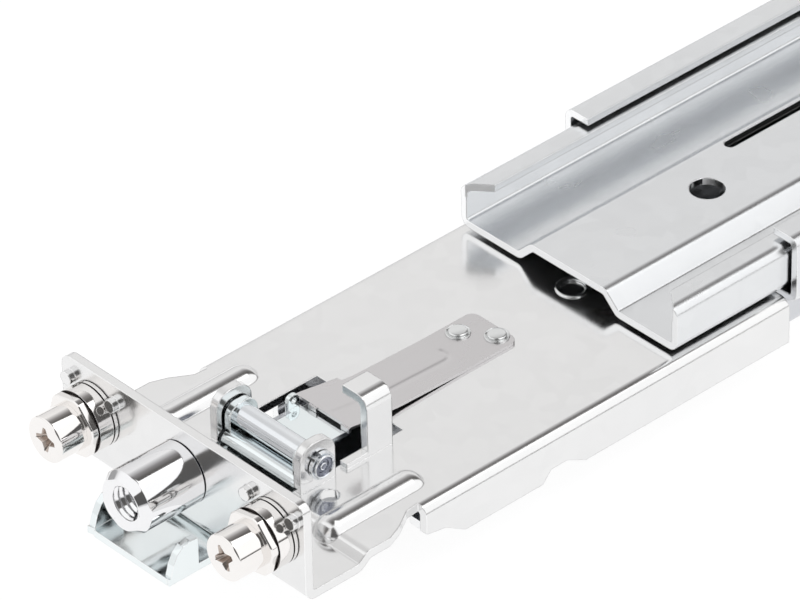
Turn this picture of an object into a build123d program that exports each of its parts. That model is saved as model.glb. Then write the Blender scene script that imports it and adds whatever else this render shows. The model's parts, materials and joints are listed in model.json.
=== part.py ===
"""Adjustable-depth server slide rail for one side of a 19 inch rack, in millimetres.

X runs along the rail from the front post to the rear post, Y runs across the rail (up in the rack),
Z points away from the server. The origin is the centre nut's axis on the front face of the front flange.
The rear end carries the same bracket hardware as the front end, turned half a turn about Z.
"""
import os
from math import atan2, degrees

from build123d import *

os.makedirs("parts", exist_ok=True)

# Rack interface: the two pins enter the outer holes of one rack unit, the nut sits at the middle hole.
PIN_OFFSET = 15.875
CLOSED_LENGTH = 620.0

# Post flange and bracket plate
SHEET = 1.2
FLANGE_WIDTH = 42.9
FLANGE_TOP = 6.2
FLANGE_CORNER = 1.6
WEB_TOP = -5.17
JOGGLE_DROP = 1.2
JOGGLE_FRONT = 8.5
JOGGLE_REAR = 10.0
BODY_WIDTH = 40.5
BODY_FRONT = 20.3
BODY_REAR = 81.0
BODY_BOTTOM = -11.55
SHOULDER_FRONT = 13.4
BEND = 1.0

# Stiffening beads beside the latch window
BEAD_Y = 14.7
BEAD_RADIUS = 2.4
BEAD_HOLLOW = 1.2
BEAD_FRONT = 10.4
BEAD_REAR = 22.2

# Latch window, pivot ears and the keeper over the leaf spring
WINDOW_FRONT = 10.8
WINDOW_STEP = 18.6
WINDOW_REAR = 28.9
WINDOW_HALF = 6.8
WINDOW_WIDE = 8.4
EAR_FRONT = 11.4
EAR_REAR = 17.0
EAR_TOP = 1.3
EAR_CORNER = 2.3
LOW_WALL_FRONT = 18.8
LOW_WALL_TOP = -4.5
KEEPER_FRONT = 22.2
KEEPER_REAR = 26.2
KEEPER_TOP = 3.3
KEEPER_TIP = -3.7
SIGHT_HOLE_X = 13.9
SIGHT_HOLE_Y = -10.4
SIGHT_HOLE_RADIUS = 1.2

# Rack pins, their collars and the centre nut
HEAD_RADIUS = 3.08
HEAD_FRONT = -7.65
HEAD_CHAMFER = 0.35
SHANK_RADIUS = 2.2
RECESS_LENGTH = 3.4
RECESS_WIDTH = 0.75
RECESS_DEPTH = 1.6
COLLAR_RADIUS = 4.2
COLLAR_FRONT = -3.7
COLLAR_CHAMFER = 0.2
COLLAR_FLATS = 7.7
HEX_LENGTH = 0.9
HEX_TURN = -12.5
GROOVE_START = 1.15
GROOVE_WIDTH = 0.35
COLLAR_GROOVE = 0.3
NUB_RADIUS = 0.9
NUB_LENGTH = 0.9
NUB_SIDE = 3.95
NUB_HEIGHT = 3.55
STAKE_RADIUS = 3.0
STAKE_LENGTH = 0.7
NUT_RADIUS = 4.15
NUT_SHOULDER = -8.0
NUT_FRONT = -9.5
NUT_FRONT_RADIUS = 2.9
NUT_FACETS = 6
NUT_FACET_CUT = 0.2
NUT_BORE = 2.1
NUT_SPIGOT = 3.0
NUT_STAKE = 3.6

# Latch lever
PIVOT_X = 14.5
PIVOT_Z = -2.1
PIVOT_RADIUS = 1.2
PIVOT_END = 9.2
PIVOT_RUN = 0.05
TUBE_RADIUS = 1.55
LEVER_SHEET = 1.0
LEVER_TOP = -7.75
LEVER_HALF = 6.5
LEVER_EAR_FRONT = 12.4
LEVER_EAR_REAR = 16.8
LEVER_EAR_TOP = -0.2
RISER_FOOT = 11.5
RISER_HEAD = 12.3
TAIL_TOP = -3.9
TAIL_REAR = 23.4
TAIL_HALF = 3.6
JAW_CENTRE = 0.4
JAW_HALF = 7.3
JAW_FRONT = -8.5
JAW_REAR = -3.8
JAW_TOP = -3.9
JAW_ARC = 30.0
LUG_X = 21.4
LUG_Y = 4.5
RING_RADIUS = 1.85
RING_THICKNESS = 0.5
RING_GAP = 0.12
RING_TURN = 67.0

# Leaf spring
SPRING_SHEET = 0.4
SPRING_CENTRE = 0.5
SPRING_HALF = 4.1
SPRING_HEAD_HALF = 4.8
SPRING_REAR = 51.1
SPRING_KNEE = 31.0
SPRING_TIP = 22.7
SPRING_TIP_Z = -3.2
SPRING_FEET = (2.2, -3.6)
SPRING_RIVETS = ((46.8, 2.6), (49.7, -1.2))
SPRING_RIVET_RADIUS = 1.55
PRESS_FRONT = 32.5
PRESS_LENGTH = 9.5
PRESS_RADIUS = 2.0
PRESS_HEIGHT = 0.35

# Guide channel on the front section and the telescoping arm that runs inside it
GUIDE_FRONT = 82.0
REAR_SPACE = 120.0
GUIDE_SHEET = 1.0
GUIDE_WIDTH = 40.9
GUIDE_TOP = 3.2
GUIDE_LIP = 16.3
GUIDE_SLOT_LENGTH = 44.0
GUIDE_SLOT_WIDTH = 12.0
ARM_FRONT = 62.8
ARM_SHEET = 1.0
ARM_SIDE_RUN = 0.35
ARM_TOP_RUN = 0.5
ARM_LIFT = 0.67
ARM_LIP = 15.5
ARM_NOSE = 2.4
ARM_RAISE = 2.2
ARM_RAISE_FOOT = 8.7
ARM_RAISE_HALF = 6.4
ARM_HOLE_X = 86.8
ARM_HOLE_RADIUS = 2.3
ARM_SLIT_X = 114.0
ARM_SLIT_Y = 5.0
ARM_SLIT_LENGTH = 38.0
ARM_SLIT_WIDTH = 1.6
ARM_SLOT_START = 150.0
ARM_SLOT_PITCH = 55.0
ARM_SLOT_LENGTH = 16.0
ARM_SLOT_WIDTH = 5.2
TONGUE_REAR = 115.0
TONGUE_HALF = 16.5

# Ball slide on the server side
SLIDE_FRONT = 26.5
SLIDE_WIDTH = 28.0
SLIDE_BOTTOM = -15.9
LIP_RUN = 1.1
BALL_RADIUS = 1.985
BALL_RUN = 0.05
BALL_Z = -11.5
GROOVE_DEPTH = 0.3
CHASSIS_FRONT = 9.0
CHASSIS_SPACE = 10.0
CHASSIS_SHEET = 1.2
CHASSIS_BOTTOM = -15.7
CHASSIS_TOP = -8.8
KEYHOLE_START = 70.0
KEYHOLE_PITCH = 120.0
KEYHOLE_COUNT = 4
KEYHOLE_RADIUS = 4.6
KEYHOLE_NECK = 4.6
KEYHOLE_SLOT = 20.0
WEB_SLOT = 30.0
WEB_SLOT_WIDTH = 10.0
CAGE_LENGTH = 200.0
CAGE_SPACE = 100.0
CAGE_SHEET = 0.5
CAGE_TOP = -7.85
CAGE_BOTTOM = -14.1
CAGE_SIDE = 2.0
CAGE_BRIDGE = 8.0
BALL_PITCH = 32.0
BALL_COUNT = 6
STOP_SPACE = 3.0
STOP_HALF = 8.0
BUMPER_HALF = 6.5
BUMPER_GAP = 0.3
BUMPER_TOP = -10.8

# Rivets
RIVET_RADIUS = 2.1
RIVET_SHANK = 1.5
RIVET_HEAD = 0.9
PLATE_RIVETS = (63.7, 75.0)
GUIDE_RIVET_COUNT = 6
GUIDE_RIVET_EDGE = 10.0
TONGUE_RIVETS = ((90.0, 13.0), (90.0, -13.0), (106.0, 13.0), (106.0, -13.0))

WEB_BOTTOM = WEB_TOP - SHEET
GUIDE_REAR = CLOSED_LENGTH - REAR_SPACE
SLIDE_REAR = GUIDE_REAR
CHASSIS_REAR = SLIDE_REAR - CHASSIS_SPACE
STOP_X = SLIDE_REAR - STOP_SPACE
CAGE_REAR = SLIDE_REAR - CAGE_SPACE
CAGE_FRONT = CAGE_REAR - CAGE_LENGTH
GUIDE_RIVET_PITCH = (GUIDE_REAR - GUIDE_FRONT - 2 * GUIDE_RIVET_EDGE) / (GUIDE_RIVET_COUNT - 1)
GUIDE_RIVETS = tuple(GUIDE_FRONT + GUIDE_RIVET_EDGE + GUIDE_RIVET_PITCH * n for n in range(GUIDE_RIVET_COUNT))
ARM_WIDTH = GUIDE_WIDTH - 2 * (GUIDE_SHEET + ARM_SIDE_RUN)
ARM_TOP = GUIDE_TOP - GUIDE_SHEET - ARM_TOP_RUN
ARM_BOTTOM = WEB_BOTTOM + GUIDE_SHEET + ARM_LIFT
BALL_Y = SLIDE_WIDTH / 2 - SHEET + GROOVE_DEPTH - BALL_RUN - BALL_RADIUS
CHASSIS_HALF = BALL_Y - BALL_RADIUS - BALL_RUN + GROOVE_DEPTH
SLIDE_LIP = CHASSIS_HALF + LIP_RUN


def block(x0, x1, y0, y1, z0, z1):
    """Box between two corners."""
    centre = Pos((x0 + x1) / 2, (y0 + y1) / 2, (z0 + z1) / 2)
    return centre * Box(x1 - x0, y1 - y0, z1 - z0)


def bent(points, sheet, bend=BEND):
    """Flat outline of a bent sheet whose middle line runs through the points."""
    return trace(FilletPolyline(*points, radius=bend), sheet)


def along_x(face, x0, x1):
    """Pushes a Y,Z outline from x0 to x1."""
    return Pos(x0, 0, 0) * extrude(Plane.YZ * face, x1 - x0)


def across(face, y0, y1):
    """Pushes an X,Z outline from y0 to y1."""
    return Pos(0, y1, 0) * extrude(Plane.XZ * face, y1 - y0)


def outline(*points):
    """Face inside a closed polygon."""
    return make_face(Polyline(*points, close=True))


def rod(x, y, z, radius, length, axis):
    """Cylinder that starts at a point and runs along X, Y or Z."""
    turn = {"x": Rot(0, 90, 0), "y": Rot(-90, 0, 0), "z": Rot(0, 0, 0)}[axis]
    bottom = (Align.CENTER, Align.CENTER, Align.MIN)
    return Pos(x, y, z) * turn * Cylinder(radius, length, align=bottom)


def rear(shape):
    """Turns a front piece half a turn about Z and moves it to the rear post."""
    return Pos(CLOSED_LENGTH, 0, 0) * Rot(0, 0, 180) * shape


def rivet(x, y, top, bottom, radius=RIVET_RADIUS, shank=RIVET_SHANK, head=RIVET_HEAD):
    """Rivet whose bevelled head stands on the face at top, with a shank down to bottom."""
    button = rod(x, y, top, radius, head, "z")
    button = chamfer(button.edges().group_by(Axis.Z)[-1], head * 0.6)
    return button + rod(x, y, bottom, shank, top - bottom, "z")


def bead(y, axis_z, radius):
    """Capsule along X that forms one stiffening bead."""
    body = rod(BEAD_FRONT, y, axis_z, radius, BEAD_REAR - BEAD_FRONT, "x")
    for x in (BEAD_FRONT, BEAD_REAR):
        body += Pos(x, y, axis_z) * Sphere(radius)
    return body


def bracket_plate(web_top):
    """Flange, stepped strip and channel body of a post bracket."""
    mid = web_top - SHEET / 2
    strip = mid - JOGGLE_DROP
    half = FLANGE_WIDTH / 2
    side = BODY_WIDTH / 2 - SHEET / 2
    path = [(SHEET / 2, FLANGE_TOP), (SHEET / 2, strip), (JOGGLE_FRONT, strip), (JOGGLE_REAR, mid), (BODY_FRONT, mid)]
    plate = across(bent(path, SHEET), -half, half)
    for sign in (-1, 1):
        corner = outline(
            (SHOULDER_FRONT, sign * (half + 1)),
            (SHOULDER_FRONT, sign * half),
            (15.6, sign * 20.6),
            (18.4, sign * 18.9),
            (BODY_FRONT + 1, sign * 18.65),
            (BODY_FRONT + 1, sign * (half + 1)),
        )
        plate -= Pos(0, 0, strip) * extrude(corner, 3, both=True)
    plate = fillet(plate.edges().filter_by(Axis.X).group_by(Axis.Z)[-1], FLANGE_CORNER)
    legs = [(-side, BODY_BOTTOM), (-side, mid), (side, mid), (side, BODY_BOTTOM)]
    body = along_x(bent(legs, SHEET), BODY_FRONT, BODY_REAR)
    front_cut = outline((20.2, -9.0), (23.4, -9.6), (26.6, -11.6), (26.6, -12.6), (20.2, -12.6))
    notch = outline((39.2, -12.6), (39.2, -11.6), (40.6, -10.0), (43.3, -10.0), (46.4, -11.6), (46.4, -12.6))
    for face in (front_cut, notch):
        body -= across(face, -BODY_WIDTH, BODY_WIDTH)
    return plate + body


def add_beads(plate, web_top):
    """Presses the two hollow stiffening beads into the bracket web."""
    axis_z = web_top - SHEET
    for y in (-BEAD_Y, BEAD_Y):
        keep = block(0, BEAD_REAR + 4, y - 4, y + 4, axis_z, axis_z + 4)
        plate += bead(y, axis_z, BEAD_RADIUS) & keep
    for y in (-BEAD_Y, BEAD_Y):
        plate -= bead(y, axis_z, BEAD_HOLLOW)
    return plate


def ear(y0, web_top):
    """Pivot ear folded up from the window edge."""
    body = block(EAR_FRONT, EAR_REAR, y0, y0 + SHEET, web_top - SHEET, EAR_TOP)
    body = fillet(body.edges().filter_by(Axis.Y).group_by(Axis.Z)[-1], EAR_CORNER)
    return body - rod(PIVOT_X, y0 - 1, PIVOT_Z, PIVOT_RADIUS, SHEET + 2, "y")


def keeper(web_top):
    """Strap that stands beside the window and bends over the leaf spring."""
    outer = -WINDOW_HALF - SHEET / 2
    path = [(outer, web_top - SHEET), (outer, KEEPER_TOP - SHEET / 2), (KEEPER_TIP, KEEPER_TOP - SHEET / 2)]
    strap = along_x(bent(path, SHEET, 1.2), KEEPER_FRONT, KEEPER_REAR)
    wall = block(LOW_WALL_FRONT, KEEPER_FRONT, -WINDOW_HALF - SHEET, -WINDOW_HALF, web_top - SHEET, LOW_WALL_TOP)
    return strap + wall


def bracket(web_top, tongue_holes=()):
    """Post bracket: one folded sheet with flange, beads, window, ears and keeper."""
    plate = add_beads(bracket_plate(web_top), web_top)
    low, high = web_top - 3, web_top + 1
    plate -= block(WINDOW_FRONT, WINDOW_STEP + 0.1, -WINDOW_HALF, WINDOW_HALF, low, high)
    plate -= block(WINDOW_STEP, WINDOW_REAR, -WINDOW_HALF, WINDOW_WIDE, low, high)
    plate += ear(WINDOW_HALF, web_top) + ear(-WINDOW_HALF - SHEET, web_top) + keeper(web_top)
    plate -= rod(SIGHT_HOLE_X, SIGHT_HOLE_Y, low, SIGHT_HOLE_RADIUS, 4, "z")
    for y in (-PIN_OFFSET, PIN_OFFSET):
        for side in (-NUB_SIDE, NUB_SIDE):
            plate += rod(-NUB_LENGTH, y + side, NUB_HEIGHT, NUB_RADIUS, NUB_LENGTH + SHEET / 2, "x")
        plate -= rod(-1, y, 0, SHANK_RADIUS, 4, "x")
    plate -= rod(-1, 0, 0, NUT_SPIGOT, 4, "x")
    for x, y in SPRING_RIVETS:
        plate -= rod(x, y, low, RIVET_SHANK * 0.6, 4, "z")
    if tongue_holes:
        plate += block(BODY_REAR, TONGUE_REAR, -TONGUE_HALF, TONGUE_HALF, web_top - SHEET, web_top)
        for x, y in tongue_holes:
            plate -= rod(x, y, low, RIVET_SHANK, 4, "z")
    else:
        for x in PLATE_RIVETS:
            plate -= rod(x, 0, low, RIVET_SHANK, 4, "z")
    return plate


def rack_pin(y):
    """Pin that enters a rack hole, with a cross recess in the head and a staked tail."""
    head = rod(HEAD_FRONT, y, 0, HEAD_RADIUS, COLLAR_FRONT - HEAD_FRONT, "x")
    head = chamfer(head.edges().group_by(Axis.X)[0], HEAD_CHAMFER)
    for width, height in ((RECESS_LENGTH, RECESS_WIDTH), (RECESS_WIDTH, RECESS_LENGTH)):
        depth = HEAD_FRONT + RECESS_DEPTH
        head -= block(HEAD_FRONT - 1, depth, y - width / 2, y + width / 2, -height / 2, height / 2)
    shank = rod(COLLAR_FRONT, y, 0, SHANK_RADIUS, SHEET - COLLAR_FRONT, "x")
    stake = rod(SHEET, y, 0, STAKE_RADIUS, STAKE_LENGTH, "x")
    return head + shank + chamfer(stake.edges().group_by(Axis.X)[-1], 0.3)


def collar(y):
    """Collar that fills a square rack hole, with a hexagonal front and a groove near the flange."""
    body = rod(COLLAR_FRONT, y, 0, COLLAR_RADIUS, -COLLAR_FRONT, "x")
    body = chamfer(body.edges().group_by(Axis.X)[0], COLLAR_CHAMFER)
    for n in range(6):
        shave = block(COLLAR_FRONT - 1, COLLAR_FRONT + HEX_LENGTH, -5, 5, COLLAR_FLATS / 2, COLLAR_FLATS)
        body -= Pos(0, y, 0) * Rot(HEX_TURN + 60 * n, 0, 0) * shave
    band = rod(-GROOVE_START - GROOVE_WIDTH, y, 0, COLLAR_RADIUS + 1, GROOVE_WIDTH, "x")
    band -= rod(COLLAR_FRONT, y, 0, COLLAR_RADIUS - COLLAR_GROOVE, -COLLAR_FRONT, "x")
    body -= band
    return body - rod(COLLAR_FRONT - 1, y, 0, SHANK_RADIUS, 8, "x")


def centre_nut():
    """Clinch nut for the middle rack hole, with flats on its tapered mouth and a stake behind the flange."""
    half = [
        (NUT_FRONT, NUT_BORE + 0.45),
        (NUT_FRONT, NUT_FRONT_RADIUS),
        (NUT_SHOULDER, NUT_RADIUS),
        (0, NUT_RADIUS),
        (0, NUT_SPIGOT),
        (SHEET, NUT_SPIGOT),
        (SHEET, NUT_STAKE),
        (SHEET + 0.6, NUT_STAKE - 0.3),
        (SHEET + 0.6, NUT_BORE),
        (NUT_FRONT + 0.45, NUT_BORE),
    ]
    nut = revolve(Plane.XZ * outline(*half), Axis.X)
    slope = degrees(atan2(NUT_RADIUS - NUT_FRONT_RADIUS, NUT_SHOULDER - NUT_FRONT))
    for n in range(NUT_FACETS):
        shave = block(-1, 4, -4, 4, 0, 4)
        tilted = Pos(NUT_FRONT, 0, NUT_FRONT_RADIUS - NUT_FACET_CUT) * Rot(0, -slope, 0) * shave
        nut -= Rot(HEX_TURN + 360 / NUT_FACETS * n, 0, 0) * tilted
    return nut


def pivot_pin():
    """Latch pivot pin with a ring groove near each end."""
    pin = rod(PIVOT_X, -PIVOT_END, PIVOT_Z, PIVOT_RADIUS, 2 * PIVOT_END, "y")
    pin = chamfer(pin.edges().filter_by(GeomType.CIRCLE), 0.2)
    for y in ring_places():
        cut = rod(PIVOT_X, y, PIVOT_Z, PIVOT_RADIUS + 1, RING_THICKNESS, "y")
        pin -= cut - rod(PIVOT_X, y, PIVOT_Z, PIVOT_RADIUS - 0.25, RING_THICKNESS, "y")
    return pin


def ring_places():
    """Lower Y face of each retaining ring."""
    start = WINDOW_HALF + SHEET + RING_GAP
    return (-start - RING_THICKNESS, start)


def retaining_rings():
    """Two open rings that snap into the pin grooves."""
    rings = []
    for y in ring_places():
        ring = rod(PIVOT_X, y, PIVOT_Z, RING_RADIUS, RING_THICKNESS, "y")
        ring -= rod(PIVOT_X, y - 1, PIVOT_Z, PIVOT_RADIUS - 0.25, 3, "y")
        ring -= Pos(PIVOT_X, y, PIVOT_Z) * Rot(0, RING_TURN, 0) * block(-3, 0, -1, 2, -0.45, 0.45)
        rings.append(ring)
    return Compound(children=rings)


def lever():
    """Latch lever: hook under the flange, riser through the window, pivot ears and tail."""
    mid = LEVER_TOP - LEVER_SHEET / 2
    tail = TAIL_TOP - LEVER_SHEET / 2
    path = [(JAW_FRONT, mid), (RISER_FOOT, mid), (RISER_HEAD, tail), (TAIL_REAR, tail)]
    body = across(bent(path, LEVER_SHEET, 0.9), -LEVER_HALF, LEVER_HALF)
    for sign in (-1, 1):
        side = sorted((sign * (TAIL_HALF + 0.1), sign * (LEVER_HALF + 1)))
        body -= block(LEVER_EAR_REAR, TAIL_REAR + 1, side[0], side[1], tail - 1, tail + 1)
        y0 = LEVER_HALF - LEVER_SHEET if sign > 0 else -LEVER_HALF
        cheek = block(LEVER_EAR_FRONT, LEVER_EAR_REAR, y0, y0 + LEVER_SHEET, tail, LEVER_EAR_TOP)
        body += fillet(cheek.edges().filter_by(Axis.Y).group_by(Axis.Z)[-1], 1.8)
    body += hook_front(mid)
    body += block(LUG_X - 0.9, LUG_X + 0.9, TAIL_HALF, LUG_Y + 0.3, tail - 0.5, tail + 0.5)
    lug = block(LUG_X - 0.9, LUG_X + 0.9, LUG_Y - 0.3, LUG_Y + 0.3, tail, tail + 2.3)
    body += fillet(lug.edges().filter_by(Axis.Y).group_by(Axis.Z)[-1], 0.8)
    body -= rod(LUG_X, LUG_Y - 1, tail + 1.5, 0.4, 2, "y")
    body -= rod(PIVOT_X, -8, PIVOT_Z, PIVOT_RADIUS + PIVOT_RUN, 16, "y")
    return body


def hook_front(mid):
    """Wide hook plate with two jaws and a hollow front edge."""
    low, high = JAW_CENTRE - JAW_HALF, JAW_CENTRE + JAW_HALF
    plate = block(JAW_FRONT, 6.0, low, high, mid - LEVER_SHEET / 2, mid + LEVER_SHEET / 2)
    jaw = outline(
        (JAW_FRONT + 0.2, mid),
        (JAW_FRONT + 0.8, JAW_TOP - 2.3),
        (JAW_FRONT + 1.5, JAW_TOP - 1.0),
        (JAW_FRONT + 2.4, JAW_TOP - 0.2),
        (JAW_FRONT + 3.6, JAW_TOP),
        (JAW_REAR, JAW_TOP - 0.1),
        (JAW_REAR, mid),
    )
    hook = plate + across(jaw, low, low + LEVER_SHEET) + across(jaw, high - LEVER_SHEET, high)
    reach = (JAW_ARC**2 - JAW_HALF**2) ** 0.5
    return hook - rod(JAW_FRONT - reach, JAW_CENTRE, mid - 2, JAW_ARC, 4, "z")


def pivot_tube():
    """Spacer tube that turns on the pivot pin between the lever ears."""
    half = LEVER_HALF - LEVER_SHEET
    tube = rod(PIVOT_X, -half, PIVOT_Z, TUBE_RADIUS, 2 * half, "y")
    return tube - rod(PIVOT_X, -half - 1, PIVOT_Z, PIVOT_RADIUS + PIVOT_RUN, 2 * half + 2, "y")


def leaf_spring(web_top):
    """Riveted leaf spring that presses the lever tail, with a bead and two feet."""
    seat = web_top + SPRING_SHEET / 2
    path = [(SPRING_REAR, seat), (42.0, seat), (SPRING_KNEE, seat + 0.35), (SPRING_TIP, SPRING_TIP_Z)]
    low, high = SPRING_CENTRE - SPRING_HALF, SPRING_CENTRE + SPRING_HALF
    body = across(bent(path, SPRING_SHEET, 3.0), low, high)
    head = across(bent(path, SPRING_SHEET, 3.0), SPRING_CENTRE - SPRING_HEAD_HALF, SPRING_CENTRE + SPRING_HEAD_HALF)
    body += head & block(0, 29.5, -10, 10, -10, 2)
    body = fillet(body.edges().filter_by(Axis.Z).group_by(Axis.X)[-1], 1.2)
    for y in SPRING_FEET:
        body += block(SPRING_TIP - 0.2, SPRING_TIP + 0.2, y - 0.7, y + 0.7, TAIL_TOP + 0.05, SPRING_TIP_Z)
    press = rod(PRESS_FRONT, SPRING_CENTRE, seat + PRESS_HEIGHT - PRESS_RADIUS, PRESS_RADIUS, PRESS_LENGTH, "x")
    body += press & block(30, 44, -5, 5, seat, seat + 2)
    for x, y in SPRING_RIVETS:
        body -= rod(x, y, web_top - 1, RIVET_SHANK * 0.6, 3, "z")
    return body


def spring_rivets(web_top):
    """Two rivets that hold the leaf spring on the bracket."""
    top = web_top + SPRING_SHEET
    bottom = web_top - SHEET
    pair = [rivet(x, y, top, bottom, SPRING_RIVET_RADIUS, RIVET_SHANK * 0.6, 0.6) for x, y in SPRING_RIVETS]
    return Compound(children=pair)


def guide_channel():
    """Fixed outer channel that the telescoping arm runs in."""
    side = GUIDE_WIDTH / 2 - GUIDE_SHEET / 2
    low = WEB_BOTTOM + GUIDE_SHEET / 2
    high = GUIDE_TOP - GUIDE_SHEET / 2
    path = [(GUIDE_LIP, high), (side, high), (side, low), (-side, low), (-side, high), (-GUIDE_LIP, high)]
    body = along_x(bent(path, GUIDE_SHEET), GUIDE_FRONT, GUIDE_REAR)
    for x in GUIDE_RIVETS:
        body -= rod(x, 0, low - 2, RIVET_SHANK, 4, "z")
    for x in GUIDE_RIVETS[:-1]:
        slot = extrude(SlotOverall(GUIDE_SLOT_LENGTH, GUIDE_SLOT_WIDTH), 4)
        body -= Pos(x + GUIDE_RIVET_PITCH / 2, 0, low - 2) * slot
    return body


def arm_channel():
    """Telescoping arm: lipped channel with a raised middle."""
    side = ARM_WIDTH / 2 - ARM_SHEET / 2
    low = ARM_BOTTOM + ARM_SHEET / 2
    high = ARM_TOP - ARM_SHEET / 2
    raised = low + ARM_RAISE
    half = [(ARM_LIP, high), (side, high), (side, low), (ARM_RAISE_FOOT, low), (ARM_RAISE_HALF, raised)]
    path = half + [(-y, z) for y, z in reversed(half)]
    end = CLOSED_LENGTH - ARM_FRONT
    body = along_x(bent(path, ARM_SHEET), ARM_FRONT, end)
    for sign in (-1, 1):
        nose = outline((ARM_FRONT - 1, 0), (ARM_FRONT - 1, 4 * sign), (ARM_FRONT + ARM_NOSE, 0))
        body -= Pos(0, sign * ARM_LIP, high) * extrude(nose, 1.5, both=True)
    body -= rod(ARM_HOLE_X, 0, raised - 2, ARM_HOLE_RADIUS, 4, "z")
    body -= Pos(ARM_SLIT_X, ARM_SLIT_Y, raised - 2) * extrude(SlotOverall(ARM_SLIT_LENGTH, ARM_SLIT_WIDTH), 4)
    slots = int((GUIDE_REAR - ARM_SLOT_START) / ARM_SLOT_PITCH) + 1
    for n in range(slots):
        slot = extrude(SlotOverall(ARM_SLOT_LENGTH, ARM_SLOT_WIDTH), 4)
        body -= Pos(ARM_SLOT_START + ARM_SLOT_PITCH * n, 0, raised - 2) * slot
    for x, y in TONGUE_RIVETS:
        body -= rod(CLOSED_LENGTH - x, -y, low - 2, RIVET_SHANK, 4, "z")
    return body


def slide_outer():
    """Outer member of the ball slide, the backbone that the bracket and the guide are riveted to."""
    side = SLIDE_WIDTH / 2 - SHEET / 2
    top = WEB_BOTTOM - SHEET / 2
    lip = SLIDE_BOTTOM + SHEET / 2
    path = [(SLIDE_LIP, lip), (side, lip), (side, top), (-side, top), (-side, lip), (-SLIDE_LIP, lip)]
    body = along_x(bent(path, SHEET), SLIDE_FRONT, SLIDE_REAR)
    for sign in (-1, 1):
        body -= rod(SLIDE_FRONT - 1, sign * BALL_Y, BALL_Z, BALL_RADIUS + BALL_RUN, CLOSED_LENGTH, "x")
    body -= block(SLIDE_FRONT - 1, WINDOW_REAR, -WINDOW_WIDE, WINDOW_WIDE, top - 1, top + 1)
    for x in PLATE_RIVETS + GUIDE_RIVETS:
        body -= rod(x, 0, top - 2, RIVET_SHANK, 4, "z")
    stop = block(STOP_X, STOP_X + SHEET, -STOP_HALF, STOP_HALF, SLIDE_BOTTOM + SHEET, top)
    return body + stop


def chassis_rail():
    """Inner member that is screwed to the server, with keyholes for its studs."""
    side = CHASSIS_HALF - CHASSIS_SHEET / 2
    web = CHASSIS_BOTTOM + CHASSIS_SHEET / 2
    path = [(side, CHASSIS_TOP), (side, web), (-side, web), (-side, CHASSIS_TOP)]
    body = along_x(bent(path, CHASSIS_SHEET), CHASSIS_FRONT, CHASSIS_REAR)
    for sign in (-1, 1):
        body -= rod(CHASSIS_FRONT - 1, sign * BALL_Y, BALL_Z, BALL_RADIUS + BALL_RUN, CLOSED_LENGTH, "x")
    for n in range(KEYHOLE_COUNT):
        x = KEYHOLE_START + KEYHOLE_PITCH * n
        body -= rod(x, 0, web - 2, KEYHOLE_RADIUS, 4, "z")
        body -= Pos(x + KEYHOLE_SLOT / 2 - KEYHOLE_NECK, 0, web - 2) * extrude(SlotOverall(KEYHOLE_SLOT, KEYHOLE_NECK), 4)
        body -= Pos(x + KEYHOLE_PITCH / 2, 0, web - 2) * extrude(SlotOverall(WEB_SLOT, WEB_SLOT_WIDTH), 4)
    return body


def ball_cage():
    """Retainer that spaces both rows of balls and joins them under the slide web."""
    path = [(-BALL_Y, CAGE_BOTTOM), (-BALL_Y, CAGE_TOP - CAGE_SHEET / 2)]
    path += [(-y, z) for y, z in reversed(path)]
    body = along_x(bent(path, CAGE_SHEET, 0.6), CAGE_FRONT, CAGE_REAR)
    inner = BALL_Y - CAGE_SIDE
    middle = (CAGE_FRONT + CAGE_REAR) / 2
    half = CAGE_BRIDGE / 2
    for x0, x1 in ((CAGE_FRONT + CAGE_BRIDGE, middle - half), (middle + half, CAGE_REAR - CAGE_BRIDGE)):
        body -= block(x0, x1, -inner, inner, CAGE_TOP - 2, CAGE_TOP + 1)
    for x in ball_places():
        body -= rod(x, -30, BALL_Z, BALL_RADIUS + 0.12, 60, "y")
    return body


def ball_places():
    """X of each ball in a row."""
    start = (CAGE_FRONT + CAGE_REAR - (BALL_COUNT - 1) * BALL_PITCH) / 2
    return [start + BALL_PITCH * n for n in range(BALL_COUNT)]


def slide_balls():
    """Both rows of steel balls."""
    balls = [Pos(x, y, BALL_Z) * Sphere(BALL_RADIUS) for x in ball_places() for y in (-BALL_Y, BALL_Y)]
    return Compound(children=balls)


def stop_bumper():
    """Rubber block that ends the chassis rail's travel at the rear."""
    low = SLIDE_BOTTOM + SHEET
    body = block(CHASSIS_REAR + BUMPER_GAP, STOP_X, -BUMPER_HALF, BUMPER_HALF, low, BUMPER_TOP)
    return chamfer(body.edges().filter_by(Axis.Y).group_by(Axis.X)[0], 0.8)


def channel_rivets(places, head_face):
    """Rivets along the middle of the backbone."""
    return Compound(children=[rivet(x, 0, head_face, WEB_BOTTOM - SHEET) for x in places])


def tongue_rivets():
    """Rivets that join the arm to the rear bracket."""
    top = ARM_BOTTOM + ARM_SHEET
    bottom = ARM_BOTTOM - SHEET
    return Compound(children=[rear(rivet(x, y, top, bottom)) for x, y in TONGUE_RIVETS])


def pair(maker):
    """Two equal pieces at the pin positions."""
    return [maker(y) for y in (-PIN_OFFSET, PIN_OFFSET)]


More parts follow.
